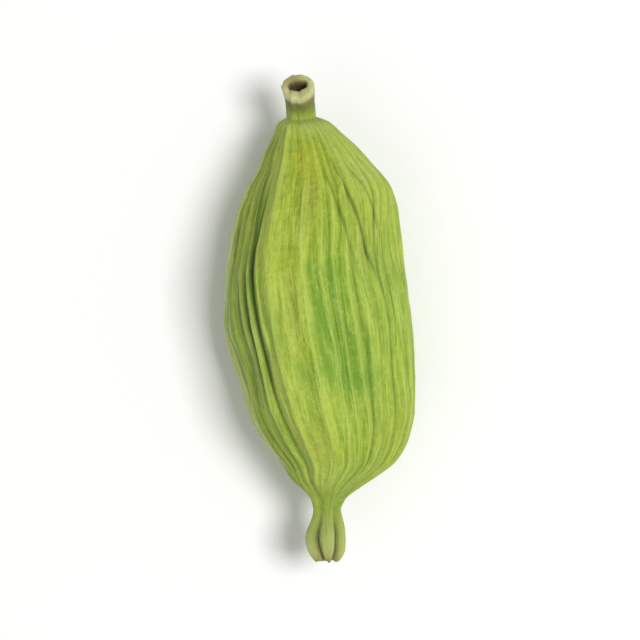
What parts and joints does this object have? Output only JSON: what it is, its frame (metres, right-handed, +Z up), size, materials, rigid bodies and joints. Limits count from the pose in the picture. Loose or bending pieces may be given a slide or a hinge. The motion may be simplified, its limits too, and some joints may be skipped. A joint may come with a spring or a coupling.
{
  "type": "green cardamom pod",
  "caption": "Whole dried green cardamom pod: a ribbed three-angled husk that tapers to a short stalk stub at one end and a small beak at the other, lying on its side.",
  "frame": {"origin": "centre of the underside of the bounding box, at the level of the small flat spot that the pod rests on", "axes": "+X along the pod towards its stalk stub, +Z up from the flank that it lies on, +Y to the left when looking from the beak towards the stalk"},
  "size_m": [0.0204, 0.008, 0.0074],
  "materials": {
    "husk": "matte, dry and papery plant husk, pale yellow-green ribs over darker green grooves"
  },
  "bodies": {
    "root": {"cardamom_pod": "husk"}
  },
  "joints": []
}
